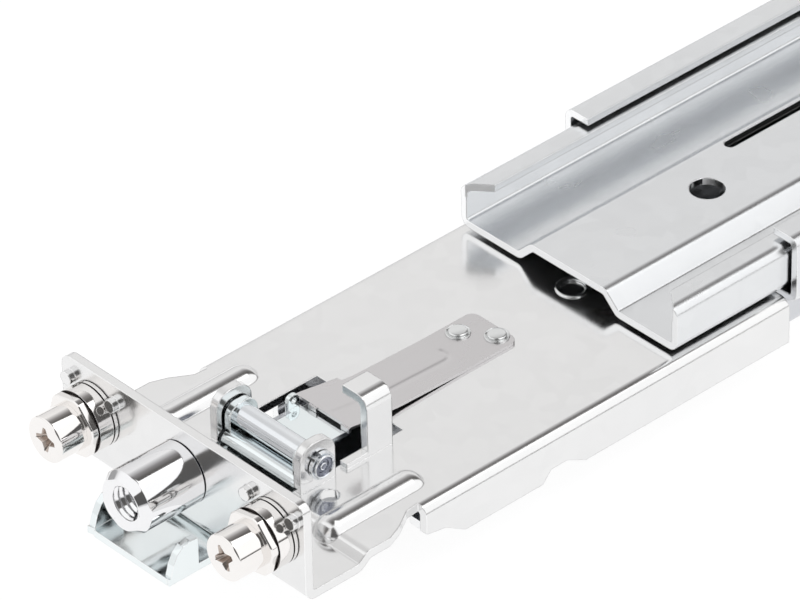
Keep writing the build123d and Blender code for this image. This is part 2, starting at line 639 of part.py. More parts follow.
parts = {
    "front_bracket": bracket(WEB_TOP),
    "front_rack_pins": Compound(children=pair(rack_pin)),
    "front_pin_collars": Compound(children=pair(collar)),
    "front_centre_nut": centre_nut(),
    "front_pivot_pin": pivot_pin(),
    "front_retaining_rings": retaining_rings(),
    "front_latch_lever": lever(),
    "front_pivot_tube": pivot_tube(),
    "front_leaf_spring": leaf_spring(WEB_TOP),
    "front_spring_rivets": spring_rivets(WEB_TOP),
    "plate_rivets": channel_rivets(PLATE_RIVETS, WEB_TOP),
    "guide_channel": guide_channel(),
    "guide_rivets": channel_rivets(GUIDE_RIVETS, WEB_BOTTOM + GUIDE_SHEET),
    "slide_outer": slide_outer(),
    "stop_bumper": stop_bumper(),
    "ball_cage": ball_cage(),
    "slide_balls": slide_balls(),
    "chassis_rail": chassis_rail(),
    "arm_channel": arm_channel(),
    "rear_bracket": rear(bracket(ARM_BOTTOM, TONGUE_RIVETS)),
    "rear_tongue_rivets": tongue_rivets(),
    "rear_rack_pins": Compound(children=[rear(pin) for pin in pair(rack_pin)]),
    "rear_pin_collars": Compound(children=[rear(ring) for ring in pair(collar)]),
    "rear_centre_nut": rear(centre_nut()),
    "rear_pivot_pin": rear(pivot_pin()),
    "rear_retaining_rings": rear(retaining_rings()),
    "rear_latch_lever": rear(lever()),
    "rear_pivot_tube": rear(pivot_tube()),
    "rear_leaf_spring": rear(leaf_spring(ARM_BOTTOM)),
    "rear_spring_rivets": rear(spring_rivets(ARM_BOTTOM)),
}

for name, shape in parts.items():
    export_step(shape, "parts/" + name + ".step")
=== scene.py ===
"""Looks of the adjustable-depth slide rail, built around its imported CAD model.

The frame is the CAD frame: X runs along the rail, Y across it, Z away from the server.
Sizes of the rail's pieces are millimetres, which MM turns into metres, and angles are degrees.
The camera, the floor and the lamp are placed in metres.
"""
import json
import math
from collections import namedtuple

import bmesh
import bpy
from mathutils import Matrix, Vector


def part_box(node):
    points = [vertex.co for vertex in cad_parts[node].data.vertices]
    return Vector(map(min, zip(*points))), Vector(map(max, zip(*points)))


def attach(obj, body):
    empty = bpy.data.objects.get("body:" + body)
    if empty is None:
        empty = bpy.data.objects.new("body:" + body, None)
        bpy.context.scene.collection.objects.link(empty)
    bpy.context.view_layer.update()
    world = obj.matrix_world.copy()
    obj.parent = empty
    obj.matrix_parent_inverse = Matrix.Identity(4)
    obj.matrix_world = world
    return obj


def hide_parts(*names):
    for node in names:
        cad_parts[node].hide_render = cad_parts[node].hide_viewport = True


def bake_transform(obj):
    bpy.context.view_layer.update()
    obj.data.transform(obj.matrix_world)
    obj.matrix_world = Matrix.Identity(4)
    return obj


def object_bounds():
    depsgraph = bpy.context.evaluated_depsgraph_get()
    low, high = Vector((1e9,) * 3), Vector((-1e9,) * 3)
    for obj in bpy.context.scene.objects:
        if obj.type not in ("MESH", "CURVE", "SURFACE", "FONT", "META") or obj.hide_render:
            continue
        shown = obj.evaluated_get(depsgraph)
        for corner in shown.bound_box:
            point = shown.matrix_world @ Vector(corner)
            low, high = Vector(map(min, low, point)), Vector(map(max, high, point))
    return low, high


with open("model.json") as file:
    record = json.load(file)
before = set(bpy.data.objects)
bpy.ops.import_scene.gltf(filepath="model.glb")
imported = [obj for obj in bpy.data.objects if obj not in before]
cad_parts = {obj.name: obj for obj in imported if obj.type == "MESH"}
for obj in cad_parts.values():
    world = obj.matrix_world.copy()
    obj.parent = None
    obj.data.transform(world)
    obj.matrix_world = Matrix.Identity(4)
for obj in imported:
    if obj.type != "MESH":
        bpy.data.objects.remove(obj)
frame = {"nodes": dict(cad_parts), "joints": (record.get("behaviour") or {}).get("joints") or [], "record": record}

MM = 0.001
cad_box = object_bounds()


def joint_place(name):
    """Place of a joint in the CAD frame."""
    return next(joint["pos_m"] for joint in frame["joints"] if joint["name"] == name)


front_pivot = joint_place("front_latch")
closed_length = front_pivot[0] + joint_place("rear_latch")[0]


# Node helpers

NOISE_LOW = 0.25
NOISE_HIGH = 0.75
EDGE_SAMPLES = 6
EDGE_GAIN = 6.0


def new_material(name):
    """Empty node material with an output node."""
    material = bpy.data.materials.new(name)
    material.use_nodes = True
    tree = material.node_tree
    tree.nodes.clear()
    output = tree.nodes.new("ShaderNodeOutputMaterial")
    return material, tree, output


def feed(tree, socket, value):
    """Links an input to a socket, or sets it to a plain value."""
    if isinstance(value, bpy.types.NodeSocket):
        tree.links.new(value, socket)
    else:
        socket.default_value = value


def add(tree, kind, settings=(), **inputs):
    """Adds a node, sets its properties and fills or links its inputs by name."""
    made = tree.nodes.new(kind)
    for key, value in dict(settings).items():
        setattr(made, key, value)
    for key, value in inputs.items():
        feed(tree, made.inputs[key.replace("_", " ")], value)
    return made


def math_node(tree, operation, a, b=0.0, c=0.0):
    """Math node whose operands are sockets or numbers."""
    made = add(tree, "ShaderNodeMath", {"operation": operation})
    for socket, value in zip(made.inputs, (a, b, c)):
        feed(tree, socket, value)
    return made.outputs[0]


def mapped(tree, value, from_range, to_range=(0.0, 1.0)):
    """Maps a value from one range onto another, held at the ends."""
    made = add(tree, "ShaderNodeMapRange", {"clamp": True}, Value=value)
    for name, number in zip(("From Min", "From Max", "To Min", "To Max"), (*from_range, *to_range)):
        made.inputs[name].default_value = number
    return made.outputs["Result"]


def spread(tree, value, low, high):
    """Maps a noise, which mostly lies between its low and high mark, onto a range."""
    return mapped(tree, value, (NOISE_LOW, NOISE_HIGH), (low, high))


def mix_colour(tree, factor, a, b):
    """Blend of two colours, each a socket or red, green and blue, by a factor socket."""
    made = add(tree, "ShaderNodeMix", {"data_type": "RGBA"})
    tree.links.new(factor, made.inputs["Factor"])
    for side, value in (("A", a), ("B", b)):
        feed(tree, made.inputs[side], value if isinstance(value, bpy.types.NodeSocket) else (*value, 1.0))
    return made.outputs["Result"]


def mix_shaders(tree, factor, a, b):
    """Blend of two shaders by a factor socket."""
    made = add(tree, "ShaderNodeMixShader")
    for socket, value in zip(made.inputs, (factor, a, b)):
        tree.links.new(value, socket)
    return made.outputs[0]


def placed(tree, scale):
    """Object coordinates stretched per axis, for textures that run with the part."""
    coordinates = add(tree, "ShaderNodeTexCoord")
    mapping = add(tree, "ShaderNodeMapping", Vector=coordinates.outputs["Object"], Scale=scale)
    return mapping.outputs["Vector"]


def noise(tree, scale, detail, rough=0.55):
    """Noise whose scale is given per axis as features per metre."""
    spot = placed(tree, scale)
    made = add(tree, "ShaderNodeTexNoise", Vector=spot, Scale=1.0, Detail=detail, Roughness=rough)
    return made.outputs["Fac"]


def edge_mask(tree, radius):
    """Mask that is white where a rounded edge would catch the light, for a painted highlight, and the rounded
    normal itself.
    """
    rounded = add(tree, "ShaderNodeBevel", {"samples": EDGE_SAMPLES}, Radius=radius)
    geometry = add(tree, "ShaderNodeNewGeometry")
    dot = add(tree, "ShaderNodeVectorMath", {"operation": "DOT_PRODUCT"})
    tree.links.new(rounded.outputs["Normal"], dot.inputs[0])
    tree.links.new(geometry.outputs["Normal"], dot.inputs[1])
    turned_away = math_node(tree, "SUBTRACT", 1.0, dot.outputs["Value"])
    return math_node(tree, "MULTIPLY", turned_away, EDGE_GAIN), rounded.outputs["Normal"]


# Metal: what all the metals share

GRAIN_STRENGTH = 0.3
EDGE_PAINTED_HIGHLIGHT = 1.1
EDGE_LIMIT = 0.95
SPANGLE_SCALE = 420.0
SPANGLE_DIM = 0.75
SPANGLE_ROUGHNESS = 0.4
STREAK_DIM = 0.6
CUT_FACING = 0.5
CUT_COLOUR = (0.95, 0.955, 0.96)
CUT_ROUGHNESS = 0.7
CUT_METALLIC = -2.2


def scaled(colour, share, limit=1.0):
    """Colour times a share, held at a limit."""
    return tuple(min(c * share, limit) for c in colour)


def zinc_spangle(tree, tone, rough, dark, share):
    """Zinc crystals, some of them a little darker and rougher than others."""
    spot = placed(tree, (1, 1, 1))
    cells = add(tree, "ShaderNodeTexVoronoi", Vector=spot, Scale=SPANGLE_SCALE, Randomness=1.0)
    shade = add(tree, "ShaderNodeSeparateColor", Color=cells.outputs["Color"]).outputs["Red"]
    tone = mix_colour(tree, math_node(tree, "MULTIPLY", shade, share), tone, scaled(dark, SPANGLE_DIM))
    rough = math_node(tree, "MULTIPLY_ADD", shade, share * SPANGLE_ROUGHNESS, rough)
    return tone, rough


def sheared_ends(tree, shader, tone, rough):
    """Brightens the faces across X, where the strip is sheared, and dulls them where they slant."""
    geometry = add(tree, "ShaderNodeNewGeometry")
    along = add(tree, "ShaderNodeSeparateXYZ", Vector=geometry.outputs["Normal"]).outputs["X"]
    facing = math_node(tree, "ABSOLUTE", along)
    cut = math_node(tree, "GREATER_THAN", facing, CUT_FACING)
    slant = math_node(tree, "MULTIPLY", cut, math_node(tree, "SUBTRACT", 1.0, facing))
    tree.links.new(mix_colour(tree, cut, tone, CUT_COLOUR), shader.inputs["Base Color"])
    tree.links.new(math_node(tree, "MULTIPLY_ADD", slant, CUT_ROUGHNESS, rough), shader.inputs["Roughness"])
    tree.links.new(math_node(tree, "MULTIPLY_ADD", slant, CUT_METALLIC, 1.0), shader.inputs["Metallic"])


def metal(name, light, dark, roughness, clouds, grain, rough_swing=0.03, bump=0.004, edge=0.1,
          spangle=0.0, streak=0.0, sheared=False):
    """Metal with cloudy tone, fine grain along its rolling or turning and edges painted brighter as a highlight.

    Clouds and grain are features per metre along each axis, bump and edge are millimetres,
    and spangle and streak are the shares of the darker tone that they mix in.
    """
    material, tree, output = new_material(name)
    cloud = noise(tree, clouds, detail=4.0)
    lines = noise(tree, grain, detail=2.0, rough=0.7)
    tone = mix_colour(tree, spread(tree, cloud, 0.0, 1.0), dark, light)
    rough = spread(tree, cloud, roughness - rough_swing, roughness + rough_swing)
    if spangle:
        tone, rough = zinc_spangle(tree, tone, rough, dark, spangle)
    if streak:
        tone = mix_colour(tree, spread(tree, lines, 0.0, streak), tone, scaled(dark, STREAK_DIM))
    highlight_mask, normal = edge_mask(tree, edge * MM)
    # Painted highlight: the tone is brightened on edges, where a rounded edge would catch the light.
    tone = mix_colour(tree, highlight_mask, tone, scaled(light, EDGE_PAINTED_HIGHLIGHT, EDGE_LIMIT))
    height = add(tree, "ShaderNodeBump", Strength=GRAIN_STRENGTH, Distance=bump * MM, Height=lines,
                 Normal=normal)
    shader = add(tree, "ShaderNodeBsdfPrincipled", Base_Color=tone, Roughness=rough, Metallic=1.0,
                 Normal=height.outputs["Normal"])
    if sheared:
        sheared_ends(tree, shader, tone, rough)
    tree.links.new(shader.outputs["BSDF"], output.inputs["Surface"])
    return material


# Materials of the record's slots

def bracket_steel():
    """Zinc-coated sheet: faint spangle, soft clouds, rolled along X."""
    return metal("zinc_coated_sheet", light=(0.86, 0.86, 0.86), dark=(0.82, 0.82, 0.822), roughness=0.15,
                 clouds=(55, 75, 65), grain=(300, 1400, 1400), edge=0.25, spangle=0.06)


def channel_steel():
    """Roll-formed zinc-coated strip, a little darker and cooler."""
    return metal("roll_formed_strip", light=(0.83, 0.841, 0.851), dark=(0.78, 0.792, 0.808), roughness=0.24,
                 clouds=(25, 60, 60), grain=(500, 1500, 1500), bump=0.008, edge=0.25, spangle=0.07,
                 streak=0.03, sheared=True)


def slide_steel():
    """Strip of the ball slide."""
    return metal("slide_strip", light=(0.72, 0.73, 0.75), dark=(0.64, 0.65, 0.68), roughness=0.24,
                 clouds=(20, 90, 90), grain=(60, 1800, 1800), bump=0.008, spangle=0.03, streak=0.06,
                 sheared=True)


def pin_nickel():
    """Warm nickel plate with turning marks around X."""
    return metal("nickel_plate", light=(0.92, 0.90, 0.885), dark=(0.88, 0.858, 0.84), roughness=0.07,
                 clouds=(120, 120, 120), grain=(5200, 200, 200), rough_swing=0.02, bump=0.002)


def nut_zinc():
    """Bright zinc plate on a turned part."""
    return metal("bright_zinc", light=(0.90, 0.90, 0.91), dark=(0.85, 0.852, 0.865), roughness=0.075,
                 clouds=(110, 110, 110), grain=(4200, 150, 150), rough_swing=0.02, bump=0.002)


def lever_zinc():
    """Blue passivated zinc on the latch lever."""
    return metal("blue_zinc", light=(0.88, 0.92, 0.925), dark=(0.79, 0.85, 0.865), roughness=0.085,
                 clouds=(60, 60, 60), grain=(400, 900, 900), bump=0.003)


def pivot_steel():
    """Bright steel with a cold tint."""
    return metal("bright_steel", light=(0.84, 0.86, 0.88), dark=(0.74, 0.765, 0.80), roughness=0.13,
                 clouds=(90, 90, 90), grain=(300, 3000, 300), bump=0.003)


def spring_steel():
    """Rolled stainless strip, grained along the spring."""
    return metal("stainless_strip", light=(0.70, 0.685, 0.69), dark=(0.66, 0.645, 0.65), roughness=0.28,
                 clouds=(50, 120, 120), grain=(150, 3200, 3200), streak=0.03)


def rivet_steel():
    """Satin zinc on the rivet heads."""
    return metal("rivet_zinc", light=(0.80, 0.81, 0.81), dark=(0.72, 0.73, 0.73), roughness=0.17,
                 clouds=(220, 220, 220), grain=(900, 900, 900))


def cage_steel():
    """Cold rolled strip of the ball retainer."""
    return metal("retainer_strip", light=(0.62, 0.62, 0.63), dark=(0.5, 0.5, 0.51), roughness=0.3,
                 clouds=(60, 160, 160), grain=(60, 2600, 2600), streak=0.06)


def ball_steel():
    """Hardened polished balls."""
    return metal("polished_ball", light=(0.82, 0.82, 0.84), dark=(0.76, 0.76, 0.78), roughness=0.07,
                 clouds=(300, 300, 300), grain=(900, 900, 900), rough_swing=0.01, bump=0.001)


def bumper_rubber():
    """Moulded black rubber with a faint bloom."""
    material, tree, output = new_material("moulded_rubber")
    bloom = noise(tree, (150, 150, 150), detail=4.0)
    grains = noise(tree, (2500, 2500, 2500), detail=2.0)
    tone = mix_colour(tree, spread(tree, bloom, 0.0, 1.0), (0.03, 0.03, 0.031), (0.055, 0.054, 0.052))
    height = add(tree, "ShaderNodeBump", Strength=0.5, Distance=0.03 * MM, Height=grains)
    shader = add(tree, "ShaderNodeBsdfPrincipled", Base_Color=tone, Roughness=spread(tree, bloom, 0.6, 0.8),
                 Normal=height.outputs["Normal"])
    tree.links.new(shader.outputs["BSDF"], output.inputs["Surface"])
    return material


def recess_shade(name, light, dark):
    """Metal painted darker as shade inside a recess or a groove, where light hardly enters."""
    return metal(name, light, dark, roughness=0.25, clouds=(700, 700, 700), grain=(1500, 1500, 1500),
                 rough_swing=0.05, bump=0.01)


materials = {
    make.__name__: make()
    for make in (bracket_steel, channel_steel, slide_steel, pin_nickel, nut_zinc, lever_zinc, pivot_steel,
                 spring_steel, rivet_steel, cage_steel, ball_steel, bumper_rubber)
}
# Painted shade: darker metals for the recesses and grooves, where light hardly enters
warm_painted_shade = recess_shade("driver_recess_painted_shade", light=(0.62, 0.55, 0.50), dark=(0.36, 0.30, 0.27))
cold_painted_shade = recess_shade("pin_end_recess_painted_shade", light=(0.34, 0.36, 0.42), dark=(0.12, 0.125, 0.16))
groove_shade = recess_shade("collar_groove_painted_shade", light=(0.30, 0.28, 0.27), dark=(0.16, 0.15, 0.145))


def dress_nodes():
    """Gives every CAD node the material of its record slot."""
    for part in frame["record"]["subparts"]:
        target = frame["nodes"][part["node"]]
        target.data.materials.clear()
        target.data.materials.append(materials[part["material_slot"]])


# Turned pieces: rings of points round an axis, joined to a skin

# A ring's look is the place of its material in the piece's list; SHADE is metal painted darker as shade
METAL = 0
SHADE = 1
# Sheet that the nuts, the pins and the spring's rivets go through
SHEET = 1.2
MERGE_DISTANCE = 0.0001
CREASE = 35.0
HALF_TURN = Matrix.Translation((closed_length, 0, 0)) @ Matrix.Rotation(math.pi, 4, "Z")
End = namedtuple("End", "place section lever")
ENDS = {
    "front": End(Matrix.Identity(4), "front_section", "front_lever"),
    "rear": End(HALF_TURN, "rear_arm", "rear_lever"),
}
AXES = {
    "x": Matrix(((0, 0, 1), (1, 0, 0), (0, 1, 0))),
    "y": Matrix(((0, 1, 0), (0, 0, 1), (1, 0, 0))),
    "z": Matrix.Identity(3),
}


def profile(look, *points):
    """Rings of one look, METAL or SHADE, through points of height and radius."""
    return [(height, radius, look) for height, radius in points]


def turned(shape, rings, axis, centre, steps, turn=0.0):
    """Adds a skin over rings of height, radius and look; a radius is a number or a function of the angle."""
    rows = []
    for height, radius, _ in rings:
        row = []
        for n in range(steps):
            angle = 2 * math.pi * n / steps
            reach = radius(angle) if callable(radius) else radius
            spoke = angle + math.radians(turn)
            local = Vector((reach * math.cos(spoke), reach * math.sin(spoke), height))
            row.append(shape.verts.new((Vector(centre) + AXES[axis] @ local) * MM))
        rows.append(row)
    for lower, upper, (_, _, look) in zip(rows, rows[1:], rings):
        for n in range(steps):
            after = (n + 1) % steps
            face = shape.faces.new((lower[n], lower[after], upper[after], upper[n]))
            face.material_index = look


def finished(shape, name, end, node, slot, shade=None, crease=CREASE):
    """Turns a mesh in the making into a named piece that stands for a node."""
    bmesh.ops.remove_doubles(shape, verts=shape.verts, dist=MERGE_DISTANCE * MM)
    bmesh.ops.recalc_face_normals(shape, faces=shape.faces)
    data = bpy.data.meshes.new(name)
    shape.to_mesh(data)
    shape.free()
    data.transform(ENDS[end].place)
    data.shade_smooth()
    data.set_sharp_from_angle(angle=math.radians(crease))
    data.materials.append(materials[slot])
    if shade:
        data.materials.append(shade)
    piece = bpy.data.objects.new(name, data)
    bpy.context.scene.collection.objects.link(piece)
    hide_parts(node)
    return piece


def from_nearest(angle, corners):
    """Angle from the nearest of some even directions, the first of them at zero."""
    sector = 2 * math.pi / corners
    return (angle + sector / 2) % sector - sector / 2


# Centre nut with its thread and the flats on its mouth

HEX_TURN = 58.5
NUT_STEPS = 96
NUT_FRONT = -9.5
NUT_SHOULDER = -8.5
NUT_RADIUS = 4.15
NUT_TIP = 3.4
FLAT_CUT = 0.12
FLAT_LENGTH = 2.0
FLAT_STEPS = 16
NUT_BORE = 2.1
THREAD_PITCH = 0.8
THREAD_DEPTH = 0.38
THREAD_STEP = 0.1
MOUTH_RADIUS = 3.28
LEAD_RADIUS = 2.45
LEAD_LENGTH = 0.5
UNDERCUT_FRONT = -0.12
UNDERCUT_REAR = -0.02
UNDERCUT_RADIUS = 3.8
UNDERCUT_BEVEL = 0.02
UNDERCUT_EDGE = 0.05
NUT_SPIGOT = 3.0
NUT_STAKE = 3.6
NUT_STAKE_TIP = 3.3
NUT_REAR = 1.8


def facet_radius(height):
    """Radius at a height on the nut's mouth, where six flats cut into the cone."""
    slope = (NUT_RADIUS - NUT_TIP) / (NUT_SHOULDER - NUT_FRONT)
    round_radius = min(NUT_TIP + slope * (height - NUT_FRONT), NUT_RADIUS)
    flat = NUT_TIP - FLAT_CUT + slope * (height - NUT_FRONT)

    def radius(angle):
        return min(round_radius, flat / math.cos(from_nearest(angle, 6)))
    return radius


def thread_radius(height):
    """Radius of the threaded bore at a height."""
    def radius(angle):
        phase = (height / THREAD_PITCH - angle / (2 * math.pi)) % 1.0
        return NUT_BORE + THREAD_DEPTH * (1 - abs(2 * phase - 1))
    return radius


def nut_outside():
    """Rings from the mouth over the flats, the undercut at the flange, painted darker as shade, and the staked
    end.
    """
    rings = profile(METAL, (NUT_FRONT, MOUTH_RADIUS))
    for n in range(FLAT_STEPS + 1):
        height = NUT_FRONT + FLAT_LENGTH * n / FLAT_STEPS
        rings += profile(METAL, (height, facet_radius(height)))
    rings += profile(METAL, (UNDERCUT_FRONT - UNDERCUT_BEVEL, NUT_RADIUS))
    rings += profile(SHADE, (UNDERCUT_FRONT, NUT_RADIUS - UNDERCUT_EDGE), (UNDERCUT_FRONT, UNDERCUT_RADIUS),
                     (UNDERCUT_REAR, UNDERCUT_RADIUS))
    return rings + profile(METAL, (0, NUT_SPIGOT), (SHEET, NUT_SPIGOT), (SHEET, NUT_STAKE),
                           (NUT_REAR, NUT_STAKE_TIP))


def nut_inside():
    """Rings from the staked end through the threaded bore to the countersunk mouth."""
    steps = int((NUT_REAR - NUT_FRONT - LEAD_LENGTH) / THREAD_STEP)
    heights = [NUT_REAR - THREAD_STEP * n for n in range(steps + 1)]
    rings = profile(METAL, *((height, thread_radius(height)) for height in heights))
    return rings + profile(METAL, (NUT_FRONT + LEAD_LENGTH, LEAD_RADIUS), (NUT_FRONT, MOUTH_RADIUS))


def centre_nut(end):
    """Clinch nut with flats on its mouth, an undercut at the flange and a threaded bore."""
    shape = bmesh.new()
    turned(shape, nut_outside() + nut_inside(), "x", (0, 0, 0), NUT_STEPS, HEX_TURN)
    nut = finished(shape, end + "_centre_nut_threaded", end, end + "_centre_nut", "nut_zinc", cold_painted_shade)
    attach(nut, ENDS[end].section)


# Rack pins with a cross recess of four narrowing arms in the head

PIN_OFFSET = 15.875
PIN_STEPS = 96
HEAD_FRONT = -7.65
HEAD_REAR = -3.7
HEAD_RADIUS = 3.08
HEAD_FACE_RADIUS = 2.2
HEAD_ROUND = 0.3
HEAD_ROUND_STEPS = 6
SHANK_RADIUS = 2.2
STAKE_RADIUS = 3.0
STAKE_REAR = 1.9
STAKE_BEVEL = 0.3
ARM_TAPER = 1.5
RECESS_TURNS = {PIN_OFFSET: -4.0, -PIN_OFFSET: -28.0}
RECESS_BOTTOM = 1.3
# Length and width of the cross's arms at the head's face, and then after their depth under it
RECESS_MOUTH = (1.75, 0.9)
RECESS_LEVELS = ((0.08, 1.66, 0.82), (0.7, 1.15, 0.6), (1.2, 0.6, 0.4))


def cross_radius(length, width):
    """Reach of the cross at an angle from one of its arms."""
    def radius(angle):
        off = from_nearest(angle, 4)
        taper = width / (abs(math.sin(off)) + width * math.cos(off) / (ARM_TAPER * length))
        return min(length / math.cos(off), taper)
    return radius


def rack_pins(end):
    """Both rack pins with stake, shank, rounded head edge and cross recess."""
    rings = profile(METAL, (STAKE_REAR, 0.0), (STAKE_REAR, STAKE_RADIUS - STAKE_BEVEL),
                    (STAKE_REAR - STAKE_BEVEL, STAKE_RADIUS), (SHEET, STAKE_RADIUS), (SHEET, SHANK_RADIUS))
    rings += profile(METAL, (HEAD_REAR, SHANK_RADIUS), (HEAD_REAR, HEAD_RADIUS))
    for n in range(HEAD_ROUND_STEPS + 1):
        bend = math.pi / 2 * n / HEAD_ROUND_STEPS
        height = HEAD_FRONT + HEAD_ROUND * (1 - math.sin(bend))
        rings += profile(METAL, (height, HEAD_RADIUS - HEAD_ROUND * (1 - math.cos(bend))))
    rings += profile(METAL, (HEAD_FRONT, HEAD_FACE_RADIUS), (HEAD_FRONT, cross_radius(*RECESS_MOUTH)))
    # The cross recess is painted darker as shade
    for depth, length, width in RECESS_LEVELS:
        rings += profile(SHADE, (HEAD_FRONT + depth, cross_radius(length, width)))
    rings += profile(SHADE, (HEAD_FRONT + RECESS_BOTTOM, 0.0))
    shape = bmesh.new()
    for y, turn in RECESS_TURNS.items():
        turned(shape, rings, "x", (0, y, 0), PIN_STEPS, turn)
    pins = finished(shape, end + "_rack_pins_cross", end, end + "_rack_pins", "pin_nickel", warm_painted_shade)
    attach(pins, ENDS[end].section)


# Collars with a hexagonal front, a shoulder groove behind it and a thin groove near the flange

COLLAR_STEPS = 144
COLLAR_CREASE = 25.0
COLLAR_RADIUS = 4.2
COLLAR_FLATS = 7.7
COLLAR_TURN = 17.5
COLLAR_EDGE = 0.15
HEX_LENGTH = 0.9
SHOULDER_GROOVE = 0.28
SHOULDER_DEPTH = 0.55
GROOVE_START = 0.22
GROOVE_WIDTH = 0.24
GROOVE_DEPTH = 0.35


def hex_radius(inset=0.0):
    """Reach of the collar's hexagonal front with rounded corners, drawn in by an inset."""
    def radius(angle):
        return min(COLLAR_RADIUS, COLLAR_FLATS / 2 / math.cos(from_nearest(angle, 6))) - inset
    return radius


def groove(front, width, depth, front_radius=COLLAR_RADIUS):
    """Rings of a groove in the collar, its bottom painted darker as shade, from its front edge to its rear edge.
    """
    bottom = COLLAR_RADIUS - depth
    rings = profile(SHADE, (front, front_radius), (front, bottom), (front + width, bottom))
    return rings + profile(METAL, (front + width, COLLAR_RADIUS))


def pin_collars(end):
    """Both collars round the rack pins, whose grooves are painted darker as shade at the bottom."""
    rings = profile(METAL, (0.0, SHANK_RADIUS), (HEAD_REAR, SHANK_RADIUS),
                    (HEAD_REAR, hex_radius(COLLAR_EDGE)), (HEAD_REAR + COLLAR_EDGE, hex_radius()))
    rings += groove(HEAD_REAR + HEX_LENGTH, SHOULDER_GROOVE, SHOULDER_DEPTH, hex_radius())
    rings += groove(-GROOVE_START - GROOVE_WIDTH, GROOVE_WIDTH, GROOVE_DEPTH)
    rings += profile(METAL, (0.0, COLLAR_RADIUS), (0.0, SHANK_RADIUS))
    shape = bmesh.new()
    for y in (PIN_OFFSET, -PIN_OFFSET):
        turned(shape, rings, "x", (0, y, 0), COLLAR_STEPS, COLLAR_TURN)
    collars = finished(shape, end + "_pin_collars_grooved", end, end + "_pin_collars", "pin_nickel",
                       groove_shade, COLLAR_CREASE)
    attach(collars, ENDS[end].section)


# Pivot pin whose dished ends are flared over the rings

PIVOT_STEPS = 48
PIVOT_PLACE = tuple(value / MM for value in front_pivot)
# Distance from the middle of the pin and radius: the ring's groove, the flare, the dish and its boss; the dish and
# the boss's top are painted darker as shade
PIVOT_HALF = (
    profile(METAL, (8.15, 1.2), (8.15, 0.95), (8.6, 0.95))
    + profile(METAL, (8.65, 1.42), (8.75, 1.55), (8.88, 1.56), (8.97, 1.5), (8.99, 1.4))
    + profile(SHADE, (8.9, 1.3), (8.7, 1.22), (8.66, 0.92), (8.45, 0.84))
    + profile(METAL, (8.45, 0.56), (8.74, 0.5))
    + profile(SHADE, (8.8, 0.38), (8.8, 0.0))
)


def pivot_pin(end):
    """Latch pivot pin with ring grooves and a dished face at both ends."""
    half = PIVOT_HALF[::-1]
    looks = [look for _, _, look in half[1:] + half[-1:]]
    other_half = [(-height, radius, look) for (height, radius, _), look in zip(half, looks)]
    shape = bmesh.new()
    turned(shape, other_half + PIVOT_HALF, "y", PIVOT_PLACE, PIVOT_STEPS)
    pin = finished(shape, end + "_pivot_pin_dished", end, end + "_pivot_pin", "pivot_steel", cold_painted_shade)
    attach(pin, ENDS[end].section)


# Leaf spring

SPRING_REAR = 51.1
SPRING_FLAT = 42.0
SPRING_KNEE = 31.0
SPRING_KNEE_RISE = 0.55
SPRING_TIP = 22.7
SPRING_TIP_Z = -3.2
SPRING_CENTRE = 0.5
SPRING_HALF = 4.1
SPRING_HEAD_HALF = 4.8
SPRING_HEAD_REAR = 29.5
SPRING_CORNER = 1.2
SPRING_SHEET = 0.4
SPRING_LENGTH_STEPS = 142
SPRING_WIDTH_STEPS = 32
EASE_SAMPLES = 9
EASE_STEP = 0.25
SPRING_FEET = (2.2, -3.6)
FOOT_HALF = 0.7
FOOT_LOW = -3.85
PRESS_LINE = ((23.5, -0.45), (41.9, -0.6), (42.5, -0.35), (42.8, 0.2), (42.75, 1.3))
PRESS_DEPTH = 0.09
PRESS_WIDTH = 0.22


def spring_seat(end):
    """Height of the sheet's face that the spring lies on."""
    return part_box(end + "_leaf_spring")[0][2] / MM


def spring_line(x, seat):
    """Height of the strip's middle in straight stretches from the tip over the knee to its flat seat."""
    knee = seat + SPRING_KNEE_RISE
    flat = seat + SPRING_SHEET / 2
    knots = ((SPRING_TIP, SPRING_TIP_Z), (SPRING_KNEE, knee), (SPRING_FLAT, flat), (SPRING_REAR, flat))
    for (x0, z0), (x1, z1) in zip(knots, knots[1:]):
        if x <= x1:
            return z0 + (z1 - z0) * (x - x0) / (x1 - x0)


def spring_height(x, seat):
    """The same height eased round the knees, as the mean of places round x."""
    total = 0.0
    for n in range(EASE_SAMPLES):
        place = x + EASE_STEP * (n - EASE_SAMPLES // 2)
        total += spring_line(min(max(place, SPRING_TIP), SPRING_REAR), seat)
    return total / EASE_SAMPLES


def spring_half(x):
    """Half width of the spring strip at x."""
    if x < SPRING_HEAD_REAR:
        return SPRING_HEAD_HALF
    past = x - (SPRING_REAR - SPRING_CORNER)
    if past <= 0:
        return SPRING_HALF
    return SPRING_HALF - SPRING_CORNER + math.sqrt(max(SPRING_CORNER**2 - past**2, 0.0))


def press_dip(x, y):
    """Depth of the pressed line at a point of the strip."""
    nearest = math.inf
    for (x0, y0), (x1, y1) in zip(PRESS_LINE, PRESS_LINE[1:]):
        along = ((x - x0) * (x1 - x0) + (y - y0) * (y1 - y0)) / ((x1 - x0) ** 2 + (y1 - y0) ** 2)
        along = min(max(along, 0.0), 1.0)
        nearest = min(nearest, math.hypot(x - x0 - along * (x1 - x0), y - y0 - along * (y1 - y0)))
    return PRESS_DEPTH * math.exp(-((nearest / PRESS_WIDTH) ** 2))


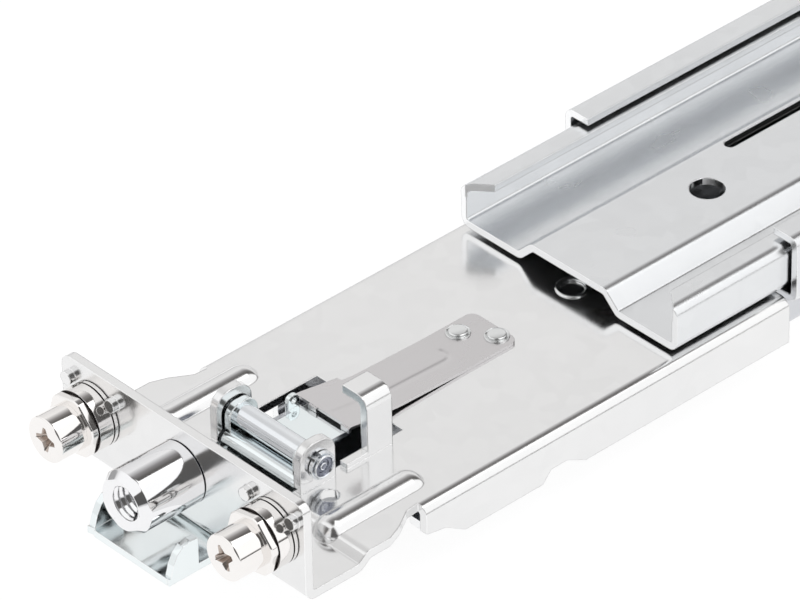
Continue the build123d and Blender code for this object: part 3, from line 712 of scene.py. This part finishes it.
def spring_face(shape, seat, upper):
    """Upper or lower face of the strip, as rows of corners across it that are joined by faces."""
    rows = []
    for n in range(SPRING_LENGTH_STEPS + 1):
        x = SPRING_TIP + (SPRING_REAR - SPRING_TIP) * n / SPRING_LENGTH_STEPS
        middle = spring_height(x, seat)
        row = []
        for k in range(SPRING_WIDTH_STEPS + 1):
            y = SPRING_CENTRE + (k / SPRING_WIDTH_STEPS * 2 - 1) * spring_half(x)
            z = middle + SPRING_SHEET / 2 - press_dip(x, y) if upper else middle - SPRING_SHEET / 2
            row.append(shape.verts.new((x * MM, y * MM, z * MM)))
        rows.append(row)
    for near, far in zip(rows, rows[1:]):
        for corners in zip(near, near[1:], far[1:], far):
            shape.faces.new(corners)
    return rows


def rim(rows):
    """Corners round the border of a face."""
    return rows[0] + [row[-1] for row in rows[1:]] + rows[-1][-2::-1] + [row[0] for row in rows[-2:0:-1]]


def spring_foot(shape, y):
    """Small foot under the tip, which rests on the lever's tail."""
    size = Matrix.Diagonal((SPRING_SHEET * MM, 2 * FOOT_HALF * MM, (SPRING_TIP_Z - FOOT_LOW) * MM, 1))
    middle = Matrix.Translation((SPRING_TIP * MM, y * MM, (SPRING_TIP_Z + FOOT_LOW) / 2 * MM))
    bmesh.ops.create_cube(shape, size=1.0, matrix=middle @ size)


def leaf_spring(end):
    """Sprung strip with a pressed line, bending between its rivets and the lever's tail."""
    seat = spring_seat(end)
    shape = bmesh.new()
    upper = rim(spring_face(shape, seat, upper=True))
    lower = rim(spring_face(shape, seat, upper=False))
    for corners in zip(upper, upper[1:] + upper[:1], lower[1:] + lower[:1], lower):
        shape.faces.new(corners)
    for y in SPRING_FEET:
        spring_foot(shape, y)
    piece = finished(shape, end + "_leaf_spring_strip", end, end + "_leaf_spring", "spring_steel")
    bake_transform(piece)


# Rivets, whose heads are drawn as points of height above the sheet and radius

RIVET_STEPS = 40
RIVET_CREASE = 50.0
SPRING_RIVETS = ((46.8, 2.6), (49.7, -1.2))
SPRING_RIVET_SHANK = 0.9
SPRING_RIVET_HEAD = ((0.0, 1.62), (0.16, 1.58), (0.2, 1.48), (0.06, 1.36), (0.06, 1.27), (0.32, 1.22),
                     (0.42, 1.14), (0.45, 1.0), (0.45, 0.0))
PLATE_RIVETS = ((63.7, 0.0), (75.0, 0.0))
PLATE_RIVET_SHANK = 1.5
PLATE_RIVET_HEAD = ((0.0, 2.3), (0.1, 2.28), (0.2, 2.18), (0.24, 1.98), (0.2, 1.76), (0.08, 1.55),
                    (-0.25, 1.42), (-0.25, 0.0))
SOLID_HEAD = 0.9


def rivets(end, name, node, places, head, top, bottom, shank):
    """Rivets whose lathe-turned heads stand on the face at top."""
    rings = profile(METAL, (bottom - top, 0.0), (bottom - top, shank), (0.0, shank), *head)
    shape = bmesh.new()
    for x, y in places:
        turned(shape, rings, "z", (x, y, top), RIVET_STEPS)
    heads = finished(shape, name, end, node, "rivet_steel", crease=RIVET_CREASE)
    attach(heads, ENDS[end].section)


def spring_rivets(end):
    """Rivets that hold the leaf spring on the sheet under it."""
    seat = spring_seat(end)
    rivets(end, end + "_spring_rivets_turned", end + "_spring_rivets", SPRING_RIVETS, SPRING_RIVET_HEAD,
           seat + SPRING_SHEET, seat - SHEET, SPRING_RIVET_SHANK)


def plate_rivets():
    """Rivets that hold the bracket on the slide; the CAD model's heads are solid and stand higher."""
    foot, head = (corner[2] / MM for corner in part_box("plate_rivets"))
    rivets("front", "plate_rivets_tubular", "plate_rivets", PLATE_RIVETS, PLATE_RIVET_HEAD,
           head - SOLID_HEAD, foot, PLATE_RIVET_SHANK)


def build_pieces():
    """Makes the detailed pieces of both ends."""
    for end in ENDS:
        centre_nut(end)
        rack_pins(end)
        pin_collars(end)
        pivot_pin(end)
        leaf_spring(end)
        spring_rivets(end)
    plate_rivets()


# Camera at the photograph's place, found by fitting it to the pin spacing

CAMERA_PLACE = (-0.442115, -0.527512, 0.517504)
CAMERA_TILT = 54.344
CAMERA_ROLL = 0.912
CAMERA_HEADING = -42.785
CAMERA_LENS = 329.571
CAMERA_SENSOR = 36.0
CAMERA_CLIP = (0.01, 20.0)


def place_camera():
    """Camera with a long lens, whose tilt is counted from looking straight down."""
    data = bpy.data.cameras.new("photo_camera")
    data.sensor_width = CAMERA_SENSOR
    data.lens = CAMERA_LENS
    data.clip_start, data.clip_end = CAMERA_CLIP
    camera = bpy.data.objects.new("photo_camera", data)
    camera.location = CAMERA_PLACE
    camera.rotation_euler = [math.radians(angle) for angle in (CAMERA_TILT, CAMERA_ROLL, CAMERA_HEADING)]
    bpy.context.scene.collection.objects.link(camera)
    bpy.context.scene.camera = camera


# Floor

FLOOR_SIZE = 6.0
FLOOR_CENTRE = 0.3
FLOOR_GAP = 0.02 * MM
FLOOR_GLOW = 0.92
FLOOR_SHADE = (0.16, 0.16, 0.16, 1.0)
FLOOR_ROUGHNESS = 0.4
FLOOR_DARK = (0.80, 0.80, 0.80)
FLOOR_LIGHT = (0.83, 0.83, 0.83)
FLOOR_CLOUDS = (30, 30, 30)


def floor_material():
    """White floor: seen rays get an even white that still takes a faint shadow."""
    material, tree, output = new_material("studio_floor")
    tone = mix_colour(tree, noise(tree, FLOOR_CLOUDS, detail=3.0), FLOOR_DARK, FLOOR_LIGHT)
    matt = add(tree, "ShaderNodeBsdfDiffuse", Color=tone, Roughness=FLOOR_ROUGHNESS)
    faint = add(tree, "ShaderNodeBsdfDiffuse", Color=FLOOR_SHADE)
    glow = add(tree, "ShaderNodeEmission", Strength=FLOOR_GLOW)
    seen = add(tree, "ShaderNodeAddShader")
    tree.links.new(faint.outputs[0], seen.inputs[0])
    tree.links.new(glow.outputs[0], seen.inputs[1])
    path = add(tree, "ShaderNodeLightPath")
    rays = math_node(tree, "MAXIMUM", path.outputs["Is Camera Ray"], path.outputs["Is Glossy Ray"])
    rays = math_node(tree, "MAXIMUM", rays, path.outputs["Is Transmission Ray"])
    tree.links.new(mix_shaders(tree, rays, matt.outputs[0], seen.outputs[0]), output.inputs["Surface"])
    return material


def build_floor():
    """Large plain floor that the rail lies on."""
    shape = bmesh.new()
    bmesh.ops.create_grid(shape, x_segments=1, y_segments=1, size=FLOOR_SIZE / 2)
    data = bpy.data.meshes.new("studio_floor")
    shape.to_mesh(data)
    shape.free()
    floor = bpy.data.objects.new("studio_floor", data)
    floor.location = (FLOOR_CENTRE, 0.0, cad_box[0][2] - FLOOR_GAP)
    data.materials.append(floor_material())
    bpy.context.scene.collection.objects.link(floor)


# Studio light: long cards round the rail and one soft box above it

# Brightness around the rail by the angle about X, from the +Y horizon over the top to the -Y horizon
AHEAD = (
    (0, (0.30, 0.30, 0.30)),
    (7, (0.80, 0.795, 0.795)),
    (47, (0.93, 0.925, 0.92)),
    (58, (0.62, 0.615, 0.615)),
    (72, (0.28, 0.27, 0.27)),
    (86, (0.13, 0.125, 0.12)),
    (104, (0.11, 0.105, 0.10)),
    (108, (1.15, 1.15, 1.15)),
    (172, (1.15, 1.15, 1.15)),
    (176, (0.14, 0.135, 0.13)),
    (180, (0.14, 0.135, 0.13)),
)
# The same for the camera's side, where the space round the camera itself is dark
BEHIND = (
    (0, (0.90, 0.90, 0.90)),
    (40, (1.08, 1.08, 1.08)),
    (108, (1.08, 1.08, 1.08)),
    (115, (0.12, 0.115, 0.11)),
    (172, (0.10, 0.10, 0.10)),
    (176, (0.70, 0.70, 0.70)),
    (180, (0.80, 0.80, 0.80)),
)
# How far a direction points along X where the cards ahead start to give way and where they have gone
SIDE_START = -0.15
SIDE_END = -0.32
CEILING_PLACE = (0.5, -0.35, 1.3)
CEILING_TARGET = (0.1, 0, 0)
CEILING_SIZE = 0.7
CEILING_LEVEL = 1.3


def card_ramp(tree, turn, table):
    """Colour by the share of half a turn about X."""
    ramp = add(tree, "ShaderNodeValToRGB", Fac=turn)
    elements = ramp.color_ramp.elements
    elements[1].position = 1.0
    for degrees, _ in table[1:-1]:
        elements.new(degrees / 180.0)
    for element, (_, colour) in zip(elements, table):
        element.color = (*colour, 1.0)
    return ramp.outputs["Color"]


def build_world():
    """Studio surround of long cards that run along the rail, which the camera sees as plain white."""
    world = bpy.data.worlds.new("studio")
    bpy.context.scene.world = world
    world.use_nodes = True
    tree = world.node_tree
    tree.nodes.clear()
    output = tree.nodes.new("ShaderNodeOutputWorld")
    coordinates = add(tree, "ShaderNodeTexCoord")
    split = add(tree, "ShaderNodeSeparateXYZ", Vector=coordinates.outputs["Generated"])
    angle = math_node(tree, "ARCTAN2", split.outputs["Z"], split.outputs["Y"])
    turn = math_node(tree, "DIVIDE", angle, math.pi)
    side = mapped(tree, split.outputs["X"], (SIDE_START, SIDE_END))
    cards = mix_colour(tree, side, card_ramp(tree, turn, AHEAD), card_ramp(tree, turn, BEHIND))
    light = add(tree, "ShaderNodeBackground", Color=cards, Strength=1.0)
    white = add(tree, "ShaderNodeBackground", Color=(1.0, 1.0, 1.0, 1.0), Strength=1.0)
    path = add(tree, "ShaderNodeLightPath")
    mixed = mix_shaders(tree, path.outputs["Is Camera Ray"], light.outputs[0], white.outputs[0])
    tree.links.new(mixed, output.inputs["Surface"])


def build_ceiling_box():
    """Square area lamp of an even level that faces the front end of the rail."""
    data = bpy.data.lights.new("ceiling_box", "AREA")
    data.shape = "RECTANGLE"
    data.size = CEILING_SIZE
    data.size_y = CEILING_SIZE
    data.energy = CEILING_LEVEL * math.pi * CEILING_SIZE * CEILING_SIZE
    lamp = bpy.data.objects.new("ceiling_box", data)
    lamp.location = CEILING_PLACE
    aim = Vector(CEILING_TARGET) - Vector(CEILING_PLACE)
    lamp.rotation_euler = aim.to_track_quat("-Z", "Y").to_euler()
    bpy.context.scene.collection.objects.link(lamp)


dress_nodes()
build_pieces()
place_camera()
build_floor()
build_world()
build_ceiling_box()
bpy.context.scene.view_settings.view_transform = "Standard"
